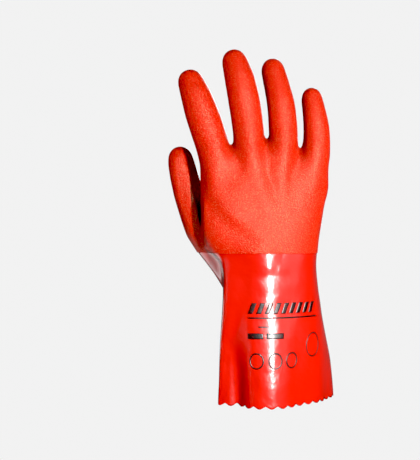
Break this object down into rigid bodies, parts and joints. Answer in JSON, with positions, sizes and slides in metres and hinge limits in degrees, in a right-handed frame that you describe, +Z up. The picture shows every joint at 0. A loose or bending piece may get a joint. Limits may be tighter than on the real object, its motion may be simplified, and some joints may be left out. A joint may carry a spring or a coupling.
{
  "type": "cotton-lined glove",
  "caption": "Right-hand coated gauntlet glove, cotton-lined: rough-coated hand with fingers and thumb, and a smooth flared cuff with a wavy cut edge, hollow to take a hand.",
  "frame": {"origin": "middle of the glove's box, on the surface that the cuff's cut edge stands on", "axes": "+Z up the glove towards the fingertips, -Y towards the back of the hand, -X towards the thumb"},
  "size_m": [0.1428, 0.0871, 0.2984],
  "materials": {
    "rough_coat": "orange-red soft coat with a rough sand finish, matt",
    "glossy_coat": "smooth dipped orange-red soft plastic, high gloss",
    "cotton_lining": "off-white cotton jersey bonded to the inside of the coat",
    "print_ink": "thin black printed ink, satin"
  },
  "bodies": {
    "root": {"coated_hand": "rough_coat", "thumb_end": "rough_coat", "index_finger": "rough_coat", "middle_finger": "rough_coat", "ring_finger": "rough_coat", "little_finger": "rough_coat", "gauntlet_cuff": "glossy_coat"}
  },
  "joints": []
}
